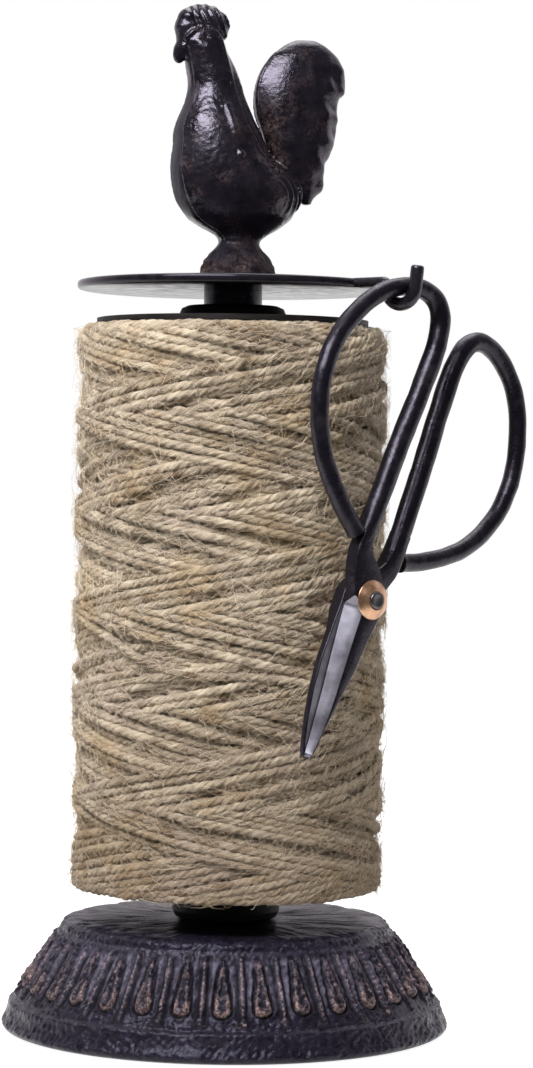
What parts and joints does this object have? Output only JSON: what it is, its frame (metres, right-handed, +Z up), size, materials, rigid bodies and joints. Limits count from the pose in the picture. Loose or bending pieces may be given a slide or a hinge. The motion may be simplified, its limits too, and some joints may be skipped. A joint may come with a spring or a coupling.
{
  "type": "string holder",
  "caption": "Standing twine holder: cast-iron foot and spindle, turning ball of jute twine, round top plate with a hook for hanging scissors, and a rooster finial that unscrews.",
  "frame": {"origin": "centre of the foot on the surface it stands on", "axes": "+Z up along the spindle, -Y towards the pictured front, the rooster faces -X"},
  "size_m": [0.1161, 0.1, 0.2284],
  "materials": {
    "foot_iron": "rough cast, dark, rubbed brown on the ornament",
    "rooster_iron": "lumpy cast, black, semi-gloss",
    "black_enamel": "glossy black",
    "bare_steel": "zinc-plated",
    "scissor_steel": "satin black with ground cutting edges",
    "rivet_brass": "worn",
    "jute": "hairy natural fibre"
  },
  "bodies": {
    "stand": {"base": "foot_iron", "spindle": "black_enamel", "spindle_washer": "bare_steel", "spindle_nut": "bare_steel", "top_disc": "black_enamel", "scissor_hook": "black_enamel"},
    "spool": {"bobbin_tube": "black_enamel", "bobbin_lower_flange": "black_enamel", "bobbin_upper_flange": "black_enamel", "bobbin_lower_hub": "black_enamel", "bobbin_upper_hub": "black_enamel", "twine_core": "jute", "twine_winding": "jute"},
    "finial_stud": {"finial_stud": "bare_steel"},
    "finial": {"rooster_finial": "rooster_iron"},
    "scissors_front": {"scissor_front_half": "scissor_steel", "scissor_rivet": "rivet_brass", "scissor_front_washer": "rivet_brass", "scissor_back_washer": "rivet_brass"},
    "scissors_back": {"scissor_back_half": "scissor_steel"}
  },
  "joints": [
    {"name": "spool_spin", "type": "hinge", "parent": "stand", "child": "spool", "pos_m": [0, 0, 0.0242], "axis": [0, 0, 1], "continuous": true},
    {"name": "stud_rise", "type": "slide", "parent": "stand", "child": "finial_stud", "axis": [0, 0, 1], "range_m": [0, 0.005]},
    {"name": "finial_turn", "type": "hinge", "parent": "finial_stud", "child": "finial", "pos_m": [0, 0, 0.1664], "axis": [0, 0, 1], "range_deg": [0, 1800]},
    {"name": "scissors_swing", "type": "hinge", "parent": "stand", "child": "scissors_front", "pos_m": [0.03629, -0.02939, 0.1605], "axis": [0.6561, -0.7547, 0], "range_deg": [-20, 20]},
    {"name": "scissors_open", "type": "hinge", "parent": "scissors_front", "child": "scissors_back", "pos_m": [0.02843, -0.03304, 0.09718], "axis": [-0.6561, 0.7547, 0], "range_deg": [-4, 40]}
  ],
  "couplings": [
    {"joint": "finial_turn", "follows": "stud_rise", "rad_per_m": 6283.2}
  ]
}
